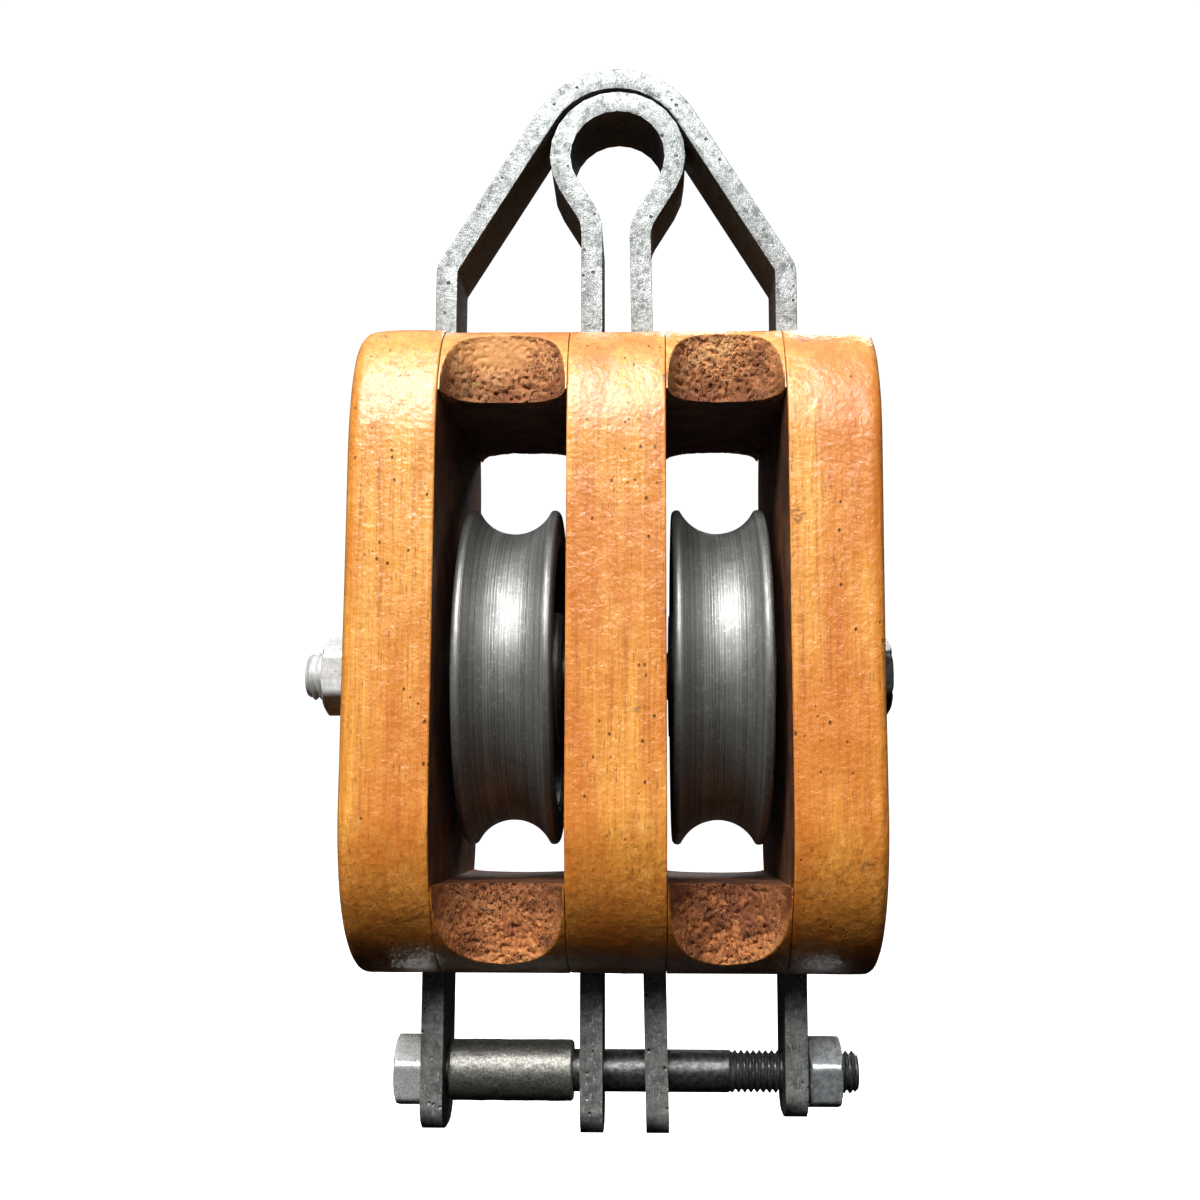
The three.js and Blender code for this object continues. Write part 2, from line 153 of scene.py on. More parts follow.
class Shader:
    """A material under construction; coordinates are the piece's own, in millimetres."""

    def __init__(self, name, **settings):
        self.material = bpy.data.materials.new(name)
        self.material.use_nodes = True
        self.tree = self.material.node_tree
        self.bsdf = next(n for n in self.tree.nodes if n.type == "BSDF_PRINCIPLED")
        for key, value in settings.items():
            self.bsdf.inputs[key.replace("_", " ")].default_value = value
        place = self.node("ShaderNodeTexCoord")
        self.mm = self.math_vector("SCALE", place.outputs["Object"], scale=1 / MM)

    def node(self, kind, **settings):
        made = self.tree.nodes.new(kind)
        for key, value in settings.items():
            setattr(made, key, value)
        return made

    def link(self, source, target):
        self.tree.links.new(source, target)

    def put(self, value, socket):
        if isinstance(value, bpy.types.NodeSocket):
            self.link(value, socket)
        else:
            socket.default_value = value

    def math_vector(self, operation, a, b=None, scale=None):
        made = self.node("ShaderNodeVectorMath", operation=operation)
        self.put(a, made.inputs[0])
        if b is not None:
            self.put(b, made.inputs[1])
        if scale is not None:
            made.inputs["Scale"].default_value = scale
        return made.outputs["Value" if operation in ("LENGTH", "DOT_PRODUCT") else "Vector"]

    def math(self, operation, a, b):
        made = self.node("ShaderNodeMath", operation=operation)
        self.put(a, made.inputs[0])
        self.put(b, made.inputs[1])
        return made.outputs[0]

    def plus(self, a, b):
        return self.math("ADD", a, b)

    def minus(self, a, b):
        return self.math("SUBTRACT", a, b)

    def times(self, a, b):
        return self.math("MULTIPLY", a, b)

    def stretched(self, sx, sy, sz, source=None):
        return self.math_vector("MULTIPLY", source or self.mm, (sx, sy, sz))

    def noise(self, vector, size, detail=3.0, rough=0.55, distort=0.0):
        made = self.node("ShaderNodeTexNoise")
        self.link(vector, made.inputs["Vector"])
        made.inputs["Scale"].default_value = 1 / size
        made.inputs["Detail"].default_value = detail
        made.inputs["Roughness"].default_value = rough
        made.inputs["Distortion"].default_value = distort
        return made.outputs["Fac"]

    def cells(self, vector, size):
        """Distance to the nearest of scattered points, for specks and pits."""
        made = self.node("ShaderNodeTexVoronoi")
        self.link(vector, made.inputs["Vector"])
        made.inputs["Scale"].default_value = 1 / size
        return made.outputs["Distance"]

    def ramp(self, value, *stops):
        """Greys or colours over a value; each stop is (position, grey or colour)."""
        made = self.node("ShaderNodeValToRGB")
        made.color_ramp.interpolation = "EASE"
        points = made.color_ramp.elements
        while len(points) < len(stops):
            points.new(0.5)
        for point, (place, colour) in zip(points, stops):
            point.position = place
            grey = isinstance(colour, (int, float))
            point.color = (colour, colour, colour, 1) if grey else (*colour, 1)
        self.link(value, made.inputs["Fac"])
        return made.outputs["Color"]

    def above(self, value, start, end, most=1.0):
        """0 where a value is under start, rising to most at end."""
        return self.times(self.ramp(value, (start, 0.0), (end, 1.0)), most)

    def below(self, value, start, end):
        """1 where a value is under start, falling to 0 at end."""
        return self.ramp(value, (start, 1.0), (end, 0.0))

    def mix(self, factor, a, b):
        made = self.node("ShaderNodeMix", data_type="RGBA")
        self.put(factor, made.inputs[0])
        self.put(a if isinstance(a, bpy.types.NodeSocket) else (*a, 1), made.inputs[6])
        self.put(b if isinstance(b, bpy.types.NodeSocket) else (*b, 1), made.inputs[7])
        return made.outputs[2]

    def bump(self, height, depth_mm, strength, under=None):
        """A relief on top of the one under it; a negative depth presses in."""
        made = self.node("ShaderNodeBump", invert=depth_mm < 0)
        made.inputs["Strength"].default_value = strength
        made.inputs["Distance"].default_value = abs(depth_mm) * MM
        self.link(height, made.inputs["Height"])
        if under is not None:
            self.link(under, made.inputs["Normal"])
        return made.outputs["Normal"]

    def edges(self, reach_mm=0.9):
        """1 near edges, 0 on flat and gently curved faces."""
        rounded = self.node("ShaderNodeBevel", samples=4)
        rounded.inputs["Radius"].default_value = reach_mm * MM
        true = self.node("ShaderNodeNewGeometry")
        same = self.math_vector("DOT_PRODUCT", rounded.outputs["Normal"], true.outputs["Normal"])
        return self.ramp(self.minus(1.0, same), (0.02, 0.0), (0.22, 1.0))

    def height(self, start, end):
        """0 above the height start and 1 below the height end, in millimetres."""
        split = self.node("ShaderNodeSeparateXYZ")
        self.link(self.mm, split.inputs[0])
        fade = self.node("ShaderNodeMapRange", clamp=True)
        self.link(split.outputs["Z"], fade.inputs["Value"])
        for socket, value in zip(("From Min", "From Max", "To Min", "To Max"), (start, end, 0.0, 1.0)):
            fade.inputs[socket].default_value = value
        return fade.outputs[0]

    def set(self, **sockets):
        for key, value in sockets.items():
            self.put(value, self.bsdf.inputs[key.replace("_", " ")])
        return self.material


TAIL_TONE = (-168.0, -206.0)  # heights between which the wood turns redder
BELOW_SHELL = (-150.0, -185.0)  # heights between which the straps turn dark, hidden in the shell
RUBBED_SPOT, RUBBED_REACH = (-28.0, -35.0, -61.0), 13.0  # a rope has rubbed one scoop smooth here
RUBBED_STRETCH = (1.0, 0.7, 1.9)


def toned(colour, shade):
    """A colour made lighter or darker."""
    return tuple(min(1.0, c * shade) for c in colour)


def varnished_wood():
    """Orange-yellow straight-grained wood under thick lumpy varnish, with pores, pits and knocks."""
    brown, amber, honey = (0.54, 0.180, 0.025), (0.82, 0.330, 0.050), (0.94, 0.440, 0.078)
    fibre_brown, deep_orange, pale = (0.44, 0.128, 0.018), (0.60, 0.150, 0.016), (1.0, 0.54, 0.15)
    tail_red, pore_brown = (0.50, 0.105, 0.014), (0.24, 0.066, 0.012)
    speck_black, knock_brown = (0.09, 0.032, 0.012), (0.17, 0.065, 0.040)
    s = Shader("varnished_wood", Coat_Weight=0.85, Coat_Roughness=0.15, Coat_IOR=1.5, IOR=WOOD_IOR)
    grain = s.noise(s.stretched(1, 1, 0.035), 1.25, 5.0, 0.66, 0.2)
    fine = s.noise(s.stretched(1, 1, 0.03), 0.38, 3.0, 0.6)
    broad = s.noise(s.stretched(1, 1, 0.25), 15.0, 3.0, 0.5)
    blotch = s.noise(s.mm, 5.0, 4.0, 0.6)
    colour = s.ramp(grain, (0.30, brown), (0.48, amber), (0.66, honey))
    colour = s.mix(s.above(fine, 0.45, 0.70, 0.50), colour, fibre_brown)
    colour = s.mix(s.above(broad, 0.42, 0.62, 0.62), colour, deep_orange)
    colour = s.mix(s.above(blotch, 0.54, 0.72, 0.25), colour, pale)
    colour = s.mix(s.times(s.height(*TAIL_TONE), 0.50), colour, tail_red)
    specks = s.cells(s.stretched(1, 1, 0.6), 2.3)
    speck = s.times(s.below(specks, 0.05, 0.17), s.above(s.noise(s.mm, 11.0, 2.0), 0.50, 0.57))
    pores = s.cells(s.stretched(1, 1, 0.14), 0.75)
    pore = s.times(s.below(pores, 0.10, 0.30), s.above(blotch, 0.42, 0.60))
    colour = s.mix(s.times(pore, 0.62), colour, pore_brown)
    colour = s.mix(s.times(speck, 0.85), colour, speck_black)
    ragged = s.above(s.noise(s.mm, 1.1), 0.45, 0.56)
    knock = s.times(s.below(s.cells(s.mm, 19.0), 0.05, 0.14), ragged)
    colour = s.mix(s.times(knock, 0.70), colour, knock_brown)
    lumps = s.noise(s.mm, 1.1, 4.0, 0.65)
    swell = s.noise(s.stretched(1, 1, 0.5), 6.0, 2.0, 0.5)
    beads = s.noise(s.mm, 2.3, 2.0, 0.5)
    varnish = s.bump(lumps, 0.22, 0.9, s.bump(beads, 0.30, 0.8, s.bump(swell, 0.8, 0.6)))
    wood = s.bump(grain, 0.10, 0.7, s.bump(speck, -0.4, 0.8, varnish))
    rough = s.ramp(lumps, (0.30, 0.36), (0.70, 0.56))
    return s.set(Base_Color=colour, Roughness=rough, Normal=wood, Coat_Normal=varnish)


def raw_wood(name, pale, mid, deep, darkening):
    """Unvarnished, torn and pitted wood in the rope scoops, with painted shade towards each scoop's lip
    between two heights.
    """
    fibre_brown, rubbed_tan, pit_black = (0.30, 0.080, 0.026), (0.86, 0.400, 0.130), (0.022, 0.007, 0.004)
    s = Shader(name, IOR=WOOD_IOR)
    lump = s.noise(s.stretched(1, 1, 0.6), 0.8, 5.0, 0.68)
    fibre = s.noise(s.stretched(1, 1, 0.18), 0.35, 4.0, 0.65)
    broad = s.noise(s.mm, 8.0, 3.0, 0.55)
    colour = s.ramp(lump, (0.34, deep), (0.48, mid), (0.64, pale))
    colour = s.mix(s.times(fibre, 0.35), colour, fibre_brown)
    colour = s.mix(s.ramp(broad, (0.36, 0.75), (0.50, 0.0)), colour, toned(deep, 0.62))
    colour = s.mix(s.ramp(broad, (0.52, 0.0), (0.66, 0.6)), colour, toned(pale, 0.86))
    away = s.stretched(*RUBBED_STRETCH, s.math_vector("SUBTRACT", s.mm, RUBBED_SPOT))
    away = s.times(s.math_vector("LENGTH", away), 1.0 / RUBBED_REACH)
    rubbed = s.below(away, 0.45, 1.0)
    torn = s.times(s.above(s.noise(s.mm, 6.0, 3.0, 0.6), 0.43, 0.53), s.minus(1.0, rubbed))
    pit = s.times(s.below(s.cells(s.stretched(1, 1, 0.75), 0.55), 0.12, 0.40), torn)
    colour = s.mix(s.times(rubbed, 0.70), colour, rubbed_tan)
    # Painted shade: the scoop darkens towards its lip between the two heights given.
    colour = s.mix(s.times(s.height(*darkening), 0.62), colour, toned(deep, 0.60))
    colour = s.mix(s.times(pit, 0.95), colour, pit_black)
    skin = s.times(s.plus(lump, s.times(fibre, 0.35)), s.minus(1.0, s.times(rubbed, 0.75)))
    normal = s.bump(s.minus(skin, s.times(pit, 1.1)), 0.7, 0.9)
    return s.set(Base_Color=colour, Roughness=s.ramp(lump, (0.3, 0.42), (0.7, 0.66)), Normal=normal)


def painted_shade_wood():
    """The slots' inner faces: oiled, dirty wood without varnish, made darker still as painted shade, since
    little light reaches into the slots.
    """
    shaded_oil, shaded_oil_pale, shaded_dirt_black = (0.085, 0.030, 0.012), (0.24, 0.088, 0.031), (0.038, 0.017, 0.010)
    s = Shader("slot_faces_painted_shade", Roughness=0.6, IOR=WOOD_IOR)
    grain = s.noise(s.stretched(1, 1, 0.05), 1.2, 5.0, 0.62)
    dirt = s.noise(s.mm, 7.0, 4.0, 0.6)
    colour = s.ramp(grain, (0.30, shaded_oil), (0.70, shaded_oil_pale))
    colour = s.mix(s.ramp(dirt, (0.38, 0.0), (0.62, 0.75)), colour, shaded_dirt_black)
    return s.set(Base_Color=colour, Normal=s.bump(grain, 0.25, 0.8))


def galvanised(name, shade, metallic):
    """Hot-dip zinc on flat bar, pale and mottled above the shell; below it the bar is dark and oily."""
    zinc = [toned(c, shade) for c in ((0.14, 0.15, 0.145), (0.28, 0.298, 0.29), (0.40, 0.42, 0.415))]
    zinc_dull, zinc_bright = toned((0.20, 0.215, 0.21), shade), toned((0.54, 0.56, 0.555), shade)
    oily = [toned(c, shade) for c in ((0.25, 0.266, 0.244), (0.38, 0.400, 0.370), (0.50, 0.52, 0.485))]
    scratched, rubbed_edge = toned((0.88, 0.90, 0.85), shade), toned((0.68, 0.70, 0.69), shade)
    grit, spot_black = (0.09, 0.095, 0.09), (0.040, 0.042, 0.040)
    s = Shader(name)
    low = s.height(*BELOW_SHELL)
    cloud = s.noise(s.mm, 2.4, 5.0, 0.66)
    broad = s.noise(s.mm, 13.0, 2.0, 0.5)
    fine = s.noise(s.mm, 0.45, 4.0, 0.65)
    marks = s.noise(s.stretched(1.0, 0.3, 0.22), 0.45, 3.0, 0.6, 0.8)
    base = s.ramp(cloud, (0.36, zinc[0]), (0.46, zinc[1]), (0.62, zinc[2]))
    base = s.mix(s.above(broad, 0.42, 0.62, 0.35), base, zinc_dull)
    base = s.mix(s.above(marks, 0.56, 0.68, 0.50), base, zinc_bright)
    black = s.ramp(cloud, (0.36, oily[0]), (0.48, oily[1]), (0.62, oily[2]))
    black = s.mix(s.above(marks, 0.56, 0.66, 0.75), black, scratched)
    base = s.mix(low, base, black)
    base = s.mix(s.above(fine, 0.48, 0.68, 0.40), base, grit)
    spot = s.times(s.below(s.cells(s.mm, 3.4), 0.07, 0.17), s.above(cloud, 0.42, 0.52))
    base = s.mix(s.times(spot, 0.85), base, spot_black)
    worn = s.times(s.edges(), s.ramp(cloud, (0.36, 0.2), (0.60, 1.0)))
    base = s.mix(s.times(worn, 0.60), base, rubbed_edge)
    metal = s.plus(metallic, s.times(low, 0.06))
    rough = s.ramp(fine, (0.30, 0.40), (0.70, 0.56))
    normal = s.bump(s.plus(cloud, s.times(fine, 0.35)), 0.34, 0.8, s.bump(spot, -0.4, 0.8))
    return s.set(Base_Color=base, Metallic=metal, Roughness=rough, Normal=normal)


def turned_steel(name, centre_x, light, dark):
    """Turned grey steel: fine rings round the axis, a few wider bands and a little grime."""
    darkening, rubbed = (0.15, 0.148, 0.135), (0.80, 0.80, 0.77)
    s = Shader(name, Metallic=0.8)
    axis = s.math_vector("SUBTRACT", s.mm, (centre_x, 0.0, PIN_Z))
    radius = s.math_vector("LENGTH", s.stretched(0.0, 1.0, 1.0, axis))
    split = s.node("ShaderNodeSeparateXYZ")
    s.link(axis, split.inputs[0])
    join = s.node("ShaderNodeCombineXYZ")
    s.link(split.outputs["X"], join.inputs["X"])
    s.link(radius, join.inputs["Y"])
    ring = s.above(s.noise(join.outputs[0], 0.45, 3.0, 0.75), 0.34, 0.66)
    band = s.noise(join.outputs[0], 2.2, 2.0, 0.6)
    broken = s.noise(s.mm, 7.0, 4.0, 0.6)
    rub = s.noise(s.mm, 1.0, 4.0, 0.65)
    colour = s.mix(ring, dark, light)
    colour = s.mix(s.above(band, 0.40, 0.62, 0.45), colour, dark)
    colour = s.mix(s.above(broken, 0.50, 0.72, 0.40), colour, darkening)
    colour = s.mix(s.above(rub, 0.54, 0.68, 0.25), colour, rubbed)
    rough = s.ramp(broken, (0.30, 0.40), (0.70, 0.54))
    height = s.plus(ring, s.times(rub, 0.6))
    return s.set(Base_Color=colour, Roughness=rough, Normal=s.bump(height, 0.05, 0.8))


def plain_steel(name, light, dark, size=1.6, metallic=0.9, rough=(0.30, 0.48)):
    """Small hardware: two-tone noise, fine scratches, rubbed edges."""
    s = Shader(name, Metallic=metallic)
    cloud = s.noise(s.mm, size, 5.0, 0.62)
    fine = s.noise(s.mm, size * 0.22, 3.0, 0.6)
    marks = s.noise(s.stretched(0.18, 1.0, 1.3), 0.4, 3.0, 0.6)
    colour = s.ramp(cloud, (0.34, dark), (0.66, light))
    colour = s.mix(s.above(marks, 0.58, 0.72, 0.35), colour, toned(light, 1.5))
    colour = s.mix(s.times(s.edges(), 0.45), colour, toned(light, 1.6))
    roughness = s.ramp(fine, (0.3, rough[0]), (0.7, rough[1]))
    normal = s.bump(s.plus(cloud, s.times(fine, 0.5)), 0.12, 0.7)
    return s.set(Base_Color=colour, Roughness=roughness, Normal=normal)


WOOD = varnished_wood()
SLOT_SHADE_WOOD = painted_shade_wood()
# The heights passed last give the painted shade towards each scoop's lip.
RAW_HEAD = raw_wood(
    "raw_wood", (1.0, 0.540, 0.225), (0.78, 0.320, 0.108), (0.42, 0.130, 0.042), darkening=(-61.0, -71.5))
RAW_TAIL = raw_wood(
    "raw_wood_tail", (0.88, 0.380, 0.130), (0.56, 0.190, 0.056), (0.25, 0.066, 0.020), darkening=(-196.0, -186.0))
ZINC_BAR = galvanised("galvanised_steel", shade=1.0, metallic=0.62)
# A darkened, barely metallic copy of the zinc: painted shade for the straps' inward and downward faces.
ZINC_PAINTED_SHADE = galvanised("galvanised_painted_shade", shade=0.13, metallic=0.10)
SHEAVE_X = {"left": -25.8, "right": 25.1}
SHEAVE_STEEL = {
    side: turned_steel(f"sheave_steel_{side}", x, light=(0.43, 0.43, 0.413), dark=(0.20, 0.20, 0.19))
    for side, x in SHEAVE_X.items()
}
BRONZE = plain_steel("bush_bronze", (0.74, 0.50, 0.22), (0.50, 0.32, 0.13))
DARK_STEEL = plain_steel("bolt_steel", (0.23, 0.237, 0.23), (0.095, 0.098, 0.095), 1.3, 0.90, (0.36, 0.50))
BRIGHT_ZINC = plain_steel("zinc_steel", (0.80, 0.81, 0.80), (0.56, 0.57, 0.56), 1.4, 0.40, (0.28, 0.42))
BLACK_STEEL = plain_steel(
    "head_black_steel", (0.092, 0.096, 0.092), (0.040, 0.042, 0.040), 1.2, 0.70, (0.34, 0.50))
NUT_STEEL = plain_steel("nut_steel", (0.84, 0.88, 0.90), (0.46, 0.485, 0.50), 1.4, 0.66, (0.26, 0.40))
HEAD_STEEL = plain_steel("head_steel", (1.0, 1.0, 0.98), (0.70, 0.71, 0.69), 1.2, 0.50, (0.22, 0.34))
SPACER_STEEL = plain_steel("spacer_steel", (0.44, 0.432, 0.39), (0.20, 0.197, 0.175), 0.6, 0.86, (0.36, 0.52))
RIVET_STEEL = plain_steel("rivet_steel", (0.40, 0.38, 0.36), (0.24, 0.22, 0.20), 1.0)


def dress(piece, material, slot, body, *nodes):
    """Gives a piece its material, hides the CAD nodes it stands for and attaches it to the body it rides on;
    the slot argument is not used.
    """
    piece.data.materials.clear()
    piece.data.materials.append(material)
    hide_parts(*nodes)
    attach(piece, body)
    return piece


# ------------------------------------------------------------------ wooden shell

SHELL = {
    "half_depth": 47.0,
    "top": 81.0,
    "bottom": -72.0,
    "head_flat": 28.0,
    "head_bend": 50.0,
    "tail_flat": 12.0,
    "tail_bend": -33.0,
}
RIM_ROUNDING = 0.45  # of the boards' rims at the slots
LEFT_ROUNDING, RIGHT_ROUNDING = 3.2, 2.6  # of the cheeks' outer rims


def shell_profile(per_quarter=34, inset=0.0):
    """The side outline as (y, z) points round the shell, moved inwards by inset."""
    half = SHELL["half_depth"] - inset

    def corner(flat, bend, end):
        """A quarter of an ellipse from the front, at height bend, to the flat end."""
        turns = [math.pi / 2 * i / per_quarter for i in range(per_quarter + 1)]
        return [(flat + (half - flat) * math.cos(a), bend + (end - bend) * math.sin(a)) for a in turns]

    def straight(a, b, steps):
        """The points between a and b, without either."""
        return [(a[0] + (b[0] - a[0]) * i / steps, a[1] + (b[1] - a[1]) * i / steps) for i in range(1, steps)]

    def mirrored(points):
        return [(-y, z) for y, z in reversed(points)]

    head = corner(SHELL["head_flat"], SHELL["head_bend"], SHELL["top"] - inset)
    tail = corner(SHELL["tail_flat"], SHELL["tail_bend"], SHELL["bottom"] + inset)
    loop = head + straight(head[-1], mirrored(head)[0], 14) + mirrored(head)
    rear = mirrored(head)[-1]
    back_tail = [(-y, z) for y, z in tail]
    loop += straight(rear, back_tail[0], 40) + back_tail
    loop += straight(back_tail[-1], tail[-1], 8) + tail[::-1]
    loop += straight(tail[0], head[0], 40)
    return loop


def rim_stations(x, inwards, radius, steps=6):
    """(x, inset) pairs over a rounded rim in rising x; inwards is 1 on the low side and -1 on the high."""
    turns = [math.pi / 2 * i / steps for i in range(steps + 1)]
    return sorted((x + inwards * radius * (1 - math.sin(a)), radius * (1 - math.cos(a))) for a in turns)


def shell_member(name, node, edge0, edge1, worn=None, proud=None, spans=14):
    """A board of the shell as wide as its CAD node, with its two rims rounded.

    worn(x, y, z) moves points in towards the pin, and proud(z) moves the far side out along X.
    """
    low, high = box_mm(node)
    x0, x1 = low[0], high[0]
    flat = x1 - edge1 - x0 - edge0
    stations = rim_stations(x0, 1, edge0)
    stations += [(x0 + edge0 + flat * k / spans, 0.0) for k in range(1, spans)]
    stations += rim_stations(x1, -1, edge1)
    loops = []
    for index, (x, inset) in enumerate(stations):
        loop = []
        for y, z in shell_profile(inset=inset):
            sway = 0.22 * fractal(x + 200, y, z * 0.6, 16.0) + 0.05 * fractal(x, y + 90, z * 0.5, 3.0, 2)
            middle = math.hypot(y, z)
            push = sway + (worn(x, y, z) if worn else 0.0)
            out = proud(z) if (proud and index > len(stations) // 2) else 0.0
            loop.append((x + out, y * (1 - push / middle), z * (1 - push / middle)))
        loops.append(loop)
    # The flat sides close through smaller copies of the outline, so that no face is a huge polygon.
    low_side, high_side = (
        [[(x, y * k, z * k) for x, y, z in source] for k in (0.93, 0.7, 0.35, 0.06)]
        for source in (loops[0], loops[-1]))
    return rings(name, low_side[::-1] + loops + high_side, smooth_angle=40.0)


def worn_left(x, y, z):
    """The left cheek's outer head corner is rubbed round."""
    across = max(0.0, (-52.5 - x) / 8.0)
    up = max(0.0, min(1.0, (z - 48.0) / 30.0))
    return 1.3 * across ** 2.2 * up - 0.6 * max(0.0, min(1.0, (z - 60.0) / 18.0))


def worn_right(x, y, z):
    """The right cheek's outer head corner is only a little rubbed."""
    across = max(0.0, (x - 56.0) / 5.0)
    up = max(0.0, min(1.0, (z - 50.0) / 25.0))
    return 0.5 * across ** 2.0 * up


def proud_right(z):
    """The right cheek is slightly thicker towards its head end."""
    return 0.7 * max(0.0, min(1.0, (z + 10.0) / 70.0))


SHELL_LEFT, SHELL_RIGHT = box_mm("cheek_left")[0][0], box_mm("cheek_right")[1][0]
INTO_SLOT = 0.93  # the least X part of the normal of a board's face towards a slot
BOARDS = (
    (shell_member("cheek_left_wood", "cheek_left", LEFT_ROUNDING, RIM_ROUNDING, worn_left),
     "cheek_left", (1,)),
    (shell_member("cheek_right_wood", "cheek_right", RIM_ROUNDING, RIGHT_ROUNDING, worn_right, proud_right),
     "cheek_right", (-1,)),
    (shell_member("centre_partition_wood", "centre_partition", RIM_ROUNDING, RIM_ROUNDING),
     "centre_partition", (-1, 1)),
)
for piece, node, slot_sides in BOARDS:
    dress(piece, WOOD, SHELL_SLOT, "frame", node)
    # Faces towards a slot get the dark slot wood: painted shade inside the slots.
    piece.data.materials.append(SLOT_SHADE_WOOD)
    for face in piece.data.polygons:
        if any(face.normal.x * side > INTO_SLOT for side in slot_sides):
            face.material_index = 1


# ------------------------------------------------------------------ chocks with rope scoops

CHOCK_HEAD, CHOCK_TAIL = 64.3, -50.2
CHOCK_OVERLAP = 0.15  # into the board on each side
SCOOP_DEPTH = 16.0
SCOOP_MARGIN = 0.25  # of whole wood beside a scoop
HEAD_SCOOP = {"lip": (33.5, CHOCK_HEAD - 0.1), "end": (35.7, 78.2), "square": 2.8, "tilt": 1.85}
TAIL_SCOOP = {"lip": (28.0, CHOCK_TAIL), "end": (26.4, -68.5), "square": 2.0, "tilt": 0.0}


def outline_depth(z):
    """Half depth of the shell's outline at a height."""
    half = SHELL["half_depth"]
    for flat, bend, end in (
            (SHELL["head_flat"], SHELL["head_bend"], SHELL["top"]),
            (SHELL["tail_flat"], SHELL["tail_bend"], SHELL["bottom"])):
        t = min(1.0, (z - bend) / (end - bend))
        if t > 0:
            return flat + (half - flat) * math.sqrt(1 - t * t)
    return half


def scoop_floor(scoop, x, half, z):
    """Distance from the middle plane to the gouged surface at x and z, or None beside the scoop."""
    (lip_y, lip_z), (end_y, end_z) = scoop["lip"], scoop["end"]
    line = lip_y + (end_y - lip_y) * (z - lip_z) / (end_z - lip_z)
    across = abs(x) / half
    if across >= 1:
        return None
    power = scoop["square"]
    return line + SCOOP_DEPTH * (1 - (1 - across ** power) ** (1 / power))


def rubbed_distance(*point):
    """Distance of a point from the rubbed spot, measured as the scoops' material measures it."""
    spot = (RUBBED_SPOT[0], RUBBED_SPOT[1], RUBBED_SPOT[2] - PIN_Z)
    return math.dist(*([c * k for c, k in zip(place, RUBBED_STRETCH)] for place in (point, spot)))


def torn_depth(x, y, z, face, seed):
    """How far the torn grain of a scoop lies under its smooth floor."""
    tear = 0.40 * fractal(x + seed, face * 40, z, 5.0, 2)
    tear += 0.22 * fractal(x, face * 70 + seed, z * 0.7, 1.2, 2)
    deep = max(0.0, fractal(x - seed, face * 20, z * 0.8, 0.95, 3) - 0.06)
    rubbed = min(1.0, max(0.15, rubbed_distance(x, y, z) / RUBBED_REACH))
    return rubbed * (tear + 1.25 * deep)


def chock(name, node, scoop, is_head, seed, rows=78, flats=12, columns=92, lip_rows=24):
    """A chock: a skin round its section at many x stations, with the scoops pressed into it."""
    low, high = box_mm(node)
    x0, x1 = low[0] - CHOCK_OVERLAP, high[0] + CHOCK_OVERLAP
    middle, half = (x0 + x1) / 2, (x1 - x0) / 2 - SCOOP_MARGIN
    lip = CHOCK_HEAD if is_head else CHOCK_TAIL
    end = SHELL["top"] if is_head else SHELL["bottom"]
    end_half = SHELL["head_flat"] if is_head else SHELL["tail_flat"]
    towards_end = 1 if is_head else -1
    heights = {}
    for face in (-1, 1):
        brink = lip + face * scoop["tilt"]
        heights[face] = [brink + (end - brink) * (1 - (1 - i / rows) ** 1.8) for i in range(rows + 1)]
    loops = []
    for c in range(columns + 1):
        x = x0 + (x1 - x0) * c / columns
        front, back = [], []
        for face, side in ((-1, front), (1, back)):
            for z in heights[face]:
                depth = outline_depth(z)
                floor = scoop_floor(scoop, x - middle, half, z)
                if floor is not None and floor < depth:
                    raw = min(1.0, (depth - floor) / 1.2)
                    depth = floor - raw * torn_depth(x, face * floor, z, face, seed)
                side.append((x, face * depth, z))
        across_end = [(x, -end_half + 2 * end_half * i / flats, end) for i in range(1, flats)]
        lip_front, lip_back = front[0][1], back[0][1]
        ragged = 0.5 * fractal(x, seed, 0, 1.9, 3)
        across_lip = []
        for i in range(1, lip_rows):
            t = i / lip_rows
            rim = max(0.0, 1 - min(t, 1 - t) / 0.08)
            z = lip + scoop["tilt"] * (1 - 2 * t) + towards_end * (0.35 + ragged) * rim
            across_lip.append((x, lip_back + (lip_front - lip_back) * t, z))
        loops.append(front + across_end + back[::-1] + across_lip)
    return rings(name, loops, smooth_angle=50.0)


def paint_scoops(piece, scoop, is_head):
    """Raw wood inside the scoops, and the dark slot wood as painted shade on the level faces towards the
    sheave.
    """
    piece.data.materials.append(RAW_HEAD if is_head else RAW_TAIL)
    piece.data.materials.append(SLOT_SHADE_WOOD)
    low = min(v.co.x for v in piece.data.vertices) / MM
    high = max(v.co.x for v in piece.data.vertices) / MM
    middle, half = (low + high) / 2, (high - low) / 2 - SCOOP_MARGIN
    for face in piece.data.polygons:
        x, y, z = face.center.x / MM, face.center.y / MM, face.center.z / MM - PIN_Z
        floor = scoop_floor(scoop, x - middle, half, z)
        outer = outline_depth(z)
        scooped = floor is not None and floor < outer - 0.05 and 8 < abs(y) < outer - 0.05
        by_sheave = z < CHOCK_HEAD + 3.0 if is_head else z > CHOCK_TAIL - 2.0
        # Level faces towards the sheave get the dark slot wood: painted shade under the chock.
        if abs(face.normal.z) > 0.8 and by_sheave and abs(y) < scoop["lip"][0] - 0.3:
            face.material_index = 2
        elif scooped:
            face.material_index = 1


